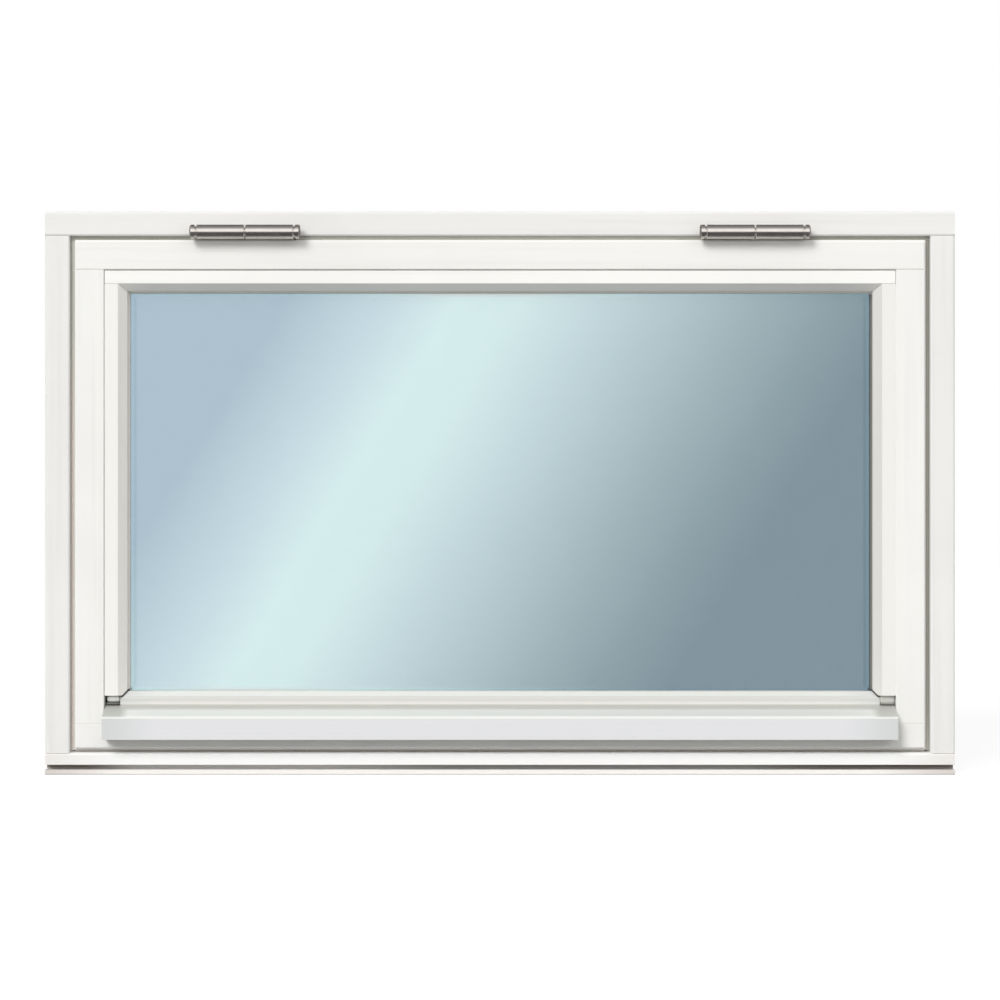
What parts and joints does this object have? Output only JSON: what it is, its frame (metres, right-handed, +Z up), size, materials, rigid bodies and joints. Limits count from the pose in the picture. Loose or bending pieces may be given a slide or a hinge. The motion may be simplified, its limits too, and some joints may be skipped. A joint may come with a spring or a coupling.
{
  "type": "top hung awning window",
  "caption": "White painted timber awning window: a rebated outer frame, and a double glazed sash on barrel hinges at the head, with glazing beads and an aluminium drip profile.",
  "frame": {"origin": "Middle of the sill's underside, in the middle of the frame's depth", "axes": "X along the sill, to the right seen from outside; Y from the weather side to the room; Z up"},
  "size_m": [0.788, 0.131, 0.488],
  "materials": {
    "painted_timber": "white satin paint on softwood",
    "drip_aluminium": "satin anodised, silver white",
    "spacer_aluminium": "mill finish",
    "hinge_steel": "polished, bright",
    "handle_metal": "satin",
    "window_glass": "clear float glass, faint blue coating",
    "seal_rubber": "matt black",
    "block_plastic": "moulded"
  },
  "bodies": {
    "root": {"frame_head": "painted_timber", "frame_sill": "painted_timber", "frame_left_jamb": "painted_timber", "frame_right_jamb": "painted_timber", "head_weather_seal": "seal_rubber", "sill_weather_seal": "seal_rubber", "left_weather_seal": "seal_rubber", "right_weather_seal": "seal_rubber", "sash_top_rail": "painted_timber", "sash_bottom_rail": "painted_timber", "sash_left_stile": "painted_timber", "sash_right_stile": "painted_timber", "outer_pane": "window_glass", "inner_pane": "window_glass", "edge_sealant": "seal_rubber", "spacer_bars": "spacer_aluminium", "glazing_gasket": "seal_rubber", "glazing_tape": "seal_rubber", "setting_blocks": "block_plastic", "top_glazing_bead": "painted_timber", "left_glazing_bead": "painted_timber", "right_glazing_bead": "painted_timber", "bottom_drip_profile": "drip_aluminium", "left_drip_end_cap": "drip_aluminium", "right_drip_end_cap": "drip_aluminium", "left_hinge_frame_leaf": "hinge_steel", "left_hinge_sash_leaf": "hinge_steel", "left_hinge_pin": "hinge_steel", "right_hinge_frame_leaf": "hinge_steel", "right_hinge_sash_leaf": "hinge_steel", "right_hinge_pin": "hinge_steel", "handle_plate": "handle_metal", "handle_lever": "handle_metal"}
  },
  "joints": []
}
